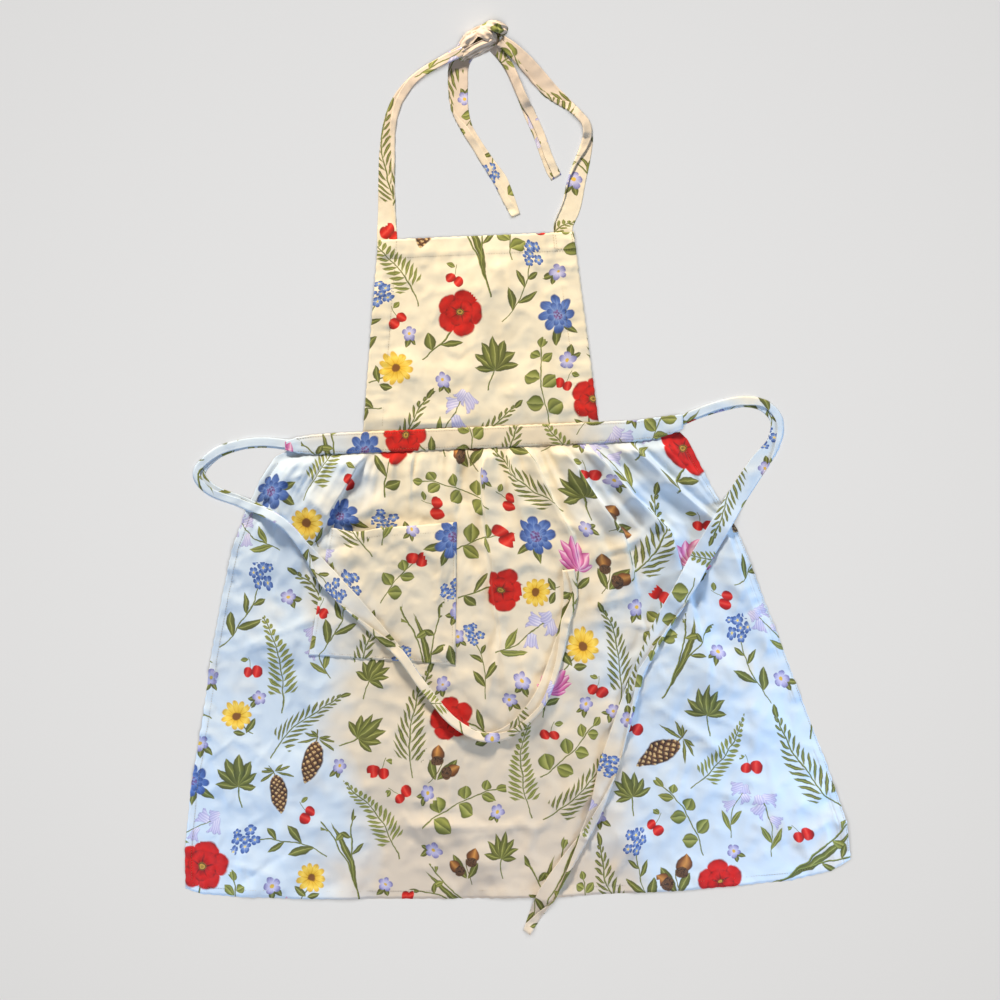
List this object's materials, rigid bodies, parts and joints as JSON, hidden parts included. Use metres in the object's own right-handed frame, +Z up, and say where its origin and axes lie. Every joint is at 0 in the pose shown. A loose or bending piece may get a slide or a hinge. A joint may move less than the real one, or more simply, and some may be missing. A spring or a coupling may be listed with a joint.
{
  "type": "bib apron",
  "caption": "Full-length cotton bib apron lying flat, with a trapezoid bib, a narrow waistband, a gathered flared skirt, a patch pocket, knotted neck ties and loose waist ties.",
  "frame": {"origin": "on the surface that the apron lies on, under the middle of the waistband", "axes": "+X to the right of the apron as it lies face up, +Y from the hem to the neck, +Z up from the surface"},
  "size_m": [0.799, 1.0955, 0.0167],
  "materials": {
    "printed_cotton": "matt cream cotton with a small scattered print"
  },
  "bodies": {
    "root": {"bib": "printed_cotton", "waistband": "printed_cotton", "skirt": "printed_cotton", "pocket": "printed_cotton", "waist_tie_left": "printed_cotton", "waist_tie_right": "printed_cotton", "neck_knot": "printed_cotton", "neck_tie_left": "printed_cotton", "neck_tie_right": "printed_cotton", "neck_end_left": "printed_cotton", "neck_end_right": "printed_cotton"}
  },
  "joints": []
}
